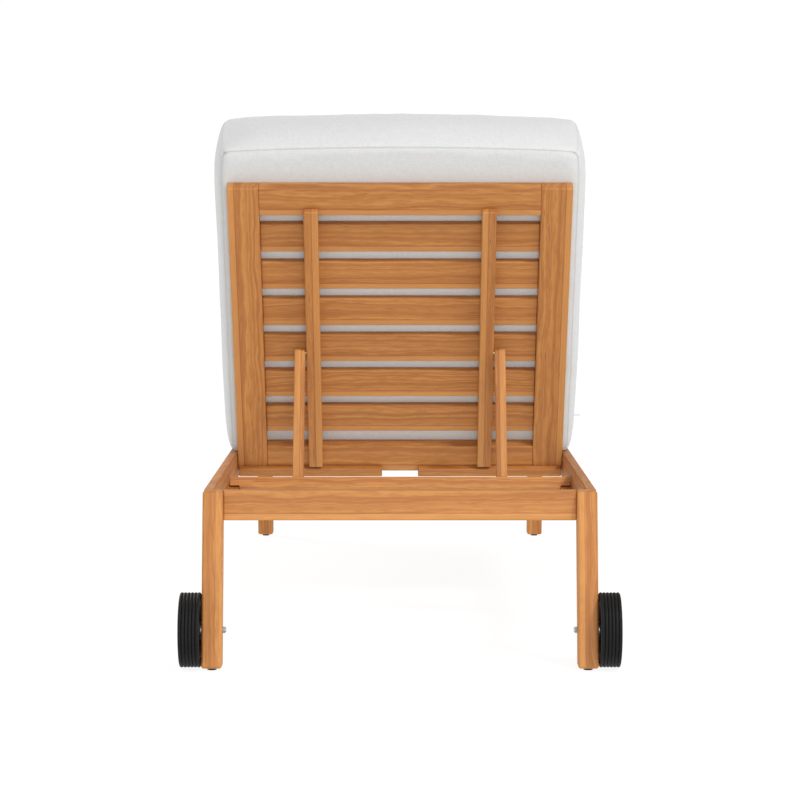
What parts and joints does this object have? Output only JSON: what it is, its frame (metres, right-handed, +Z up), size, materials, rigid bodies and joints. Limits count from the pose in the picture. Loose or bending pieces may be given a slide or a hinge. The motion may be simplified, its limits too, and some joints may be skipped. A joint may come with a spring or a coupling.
{
  "type": "reclining_chaise_lounger",
  "caption": "Reclining patio chaise lounger of oiled wood slats with a prop-up back, ribbed transport wheels at the head end and a thick pale folding cushion.",
  "frame": {"origin": "On the floor, under the middle of the lounger's bounding box", "axes": "X to the right seen from the head end, Y from the head end to the foot end, Z up"},
  "size_m": [0.7766, 1.9772, 0.9888],
  "materials": {
    "oiled_wood": "satin oiled hardwood",
    "pale_fabric": "matt woven outdoor fabric over foam",
    "black_tyre": "matt ribbed rubber",
    "black_hub": "matt moulded plastic",
    "zinc_steel": "brushed, slightly dull",
    "dark_glide": "matt hard plastic"
  },
  "bodies": {
    "frame": {"axle_nuts": "zinc_steel", "corner_bolts": "zinc_steel", "front_cross_rail": "oiled_wood", "front_leg_left": "oiled_wood", "front_leg_right": "oiled_wood", "hinge_bolts": "zinc_steel", "hinge_rail": "oiled_wood", "leg_glides": "dark_glide", "prop_rack_left": "oiled_wood", "prop_rack_right": "oiled_wood", "rail_dowels": "oiled_wood", "rear_cross_rail": "oiled_wood", "rear_leg_left": "oiled_wood", "rear_leg_right": "oiled_wood", "seat_cushion": "pale_fabric", "seat_ledger_left": "oiled_wood", "seat_ledger_right": "oiled_wood", "seat_slat_01": "oiled_wood", "seat_slat_02": "oiled_wood", "seat_slat_03": "oiled_wood", "seat_slat_04": "oiled_wood", "seat_slat_05": "oiled_wood", "seat_slat_06": "oiled_wood", "seat_slat_07": "oiled_wood", "seat_slat_08": "oiled_wood", "seat_slat_09": "oiled_wood", "seat_slat_10": "oiled_wood", "seat_slat_11": "oiled_wood", "seat_slat_12": "oiled_wood", "seat_slat_screws": "zinc_steel", "side_rail_left": "oiled_wood", "side_rail_right": "oiled_wood", "wheel_axle_left": "zinc_steel", "wheel_axle_right": "zinc_steel", "zip_pull": "zinc_steel"},
    "backrest": {"back_batten_left": "oiled_wood", "back_batten_right": "oiled_wood", "back_bottom_rail": "oiled_wood", "back_cushion": "pale_fabric", "back_slat_1": "oiled_wood", "back_slat_2": "oiled_wood", "back_slat_3": "oiled_wood", "back_slat_4": "oiled_wood", "back_slat_5": "oiled_wood", "back_slat_6": "oiled_wood", "back_stile_left": "oiled_wood", "back_stile_right": "oiled_wood", "back_top_rail": "oiled_wood", "batten_screws": "zinc_steel", "bottom_cleat_left": "oiled_wood", "bottom_cleat_right": "oiled_wood", "prop_pivot_pins": "zinc_steel"},
    "prop": {"prop_arm_left": "oiled_wood", "prop_arm_right": "oiled_wood", "prop_crossbar": "oiled_wood", "prop_dowels": "oiled_wood"},
    "left_wheel": {"wheel_tyre_left": "black_tyre", "wheel_hub_left": "black_hub"},
    "right_wheel": {"wheel_tyre_right": "black_tyre", "wheel_hub_right": "black_hub"}
  },
  "joints": [
    {"name": "back_hinge", "type": "hinge", "parent": "frame", "child": "backrest", "pos_m": [0, -0.15643, 0.299], "axis": [1, 0, 0], "range_deg": [0, 60]},
    {"name": "prop_pivot", "type": "hinge", "parent": "backrest", "child": "prop", "pos_m": [0, -0.31133, 0.52469], "axis": [1, 0, 0], "range_deg": [-120.5, 0]},
    {"name": "left_wheel_spin", "type": "hinge", "parent": "frame", "child": "left_wheel", "pos_m": [-0.36995, -0.92295, 0.0688], "axis": [1, 0, 0], "continuous": true},
    {"name": "right_wheel_spin", "type": "hinge", "parent": "frame", "child": "right_wheel", "pos_m": [0.36995, -0.92295, 0.0688], "axis": [1, 0, 0], "continuous": true}
  ],
  "couplings": [
    {"joint": "prop_pivot", "follows": "back_hinge", "ratio": -2}
  ]
}
